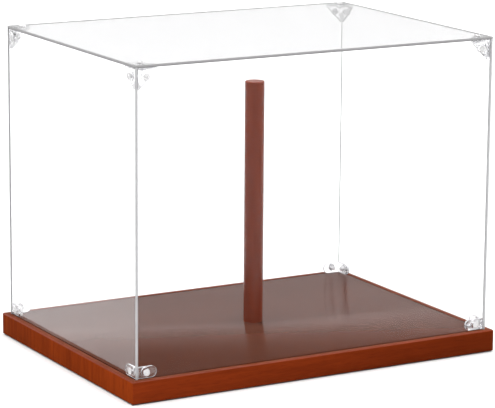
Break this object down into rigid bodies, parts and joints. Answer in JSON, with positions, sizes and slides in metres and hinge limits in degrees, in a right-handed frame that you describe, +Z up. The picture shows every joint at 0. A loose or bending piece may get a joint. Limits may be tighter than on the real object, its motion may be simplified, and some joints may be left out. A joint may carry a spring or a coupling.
{
  "type": "helmet display case",
  "caption": "Clear lift-off box of flat sheets joined by corner brackets and screws, standing in the groove of a veneered wooden base, with a round post inside to hold a full-size helmet.",
  "frame": {"origin": "middle of the footprint, on the surface that the pads stand on", "axes": "+X along the length, +Y to the back, +Z up"},
  "size_m": [0.413, 0.297, 0.326],
  "materials": {
    "cherry_veneer": "satin varnish",
    "cherry_post": "gloss varnish",
    "clear_sheet": "polished clear acrylic",
    "clear_bracket": "moulded clear polycarbonate",
    "clear_screw": "moulded clear nylon",
    "rubber_pad": "matt"
  },
  "bodies": {
    "base": {"base_board": "cherry_veneer", "pad_front_left": "rubber_pad", "pad_front_right": "rubber_pad", "pad_back_left": "rubber_pad", "pad_back_right": "rubber_pad", "helmet_post": "cherry_post"},
    "cover": {"lid_panel": "clear_sheet", "front_panel": "clear_sheet", "back_panel": "clear_sheet", "left_panel": "clear_sheet", "right_panel": "clear_sheet", "top_bracket_front_left": "clear_bracket", "top_bracket_front_right": "clear_bracket", "top_bracket_back_left": "clear_bracket", "top_bracket_back_right": "clear_bracket", "bottom_bracket_front_left": "clear_bracket", "bottom_bracket_front_right": "clear_bracket", "bottom_bracket_back_left": "clear_bracket", "bottom_bracket_back_right": "clear_bracket", "lid_screws": "clear_screw", "front_upper_screws": "clear_screw", "front_lower_screws": "clear_screw", "back_upper_screws": "clear_screw", "back_lower_screws": "clear_screw", "left_upper_screws": "clear_screw", "left_lower_screws": "clear_screw", "right_upper_screws": "clear_screw", "right_lower_screws": "clear_screw"}
  },
  "joints": [
    {"name": "cover_lift", "type": "slide", "parent": "base", "child": "cover", "axis": [0, 0, 1], "range_m": [0, 0.32]}
  ]
}
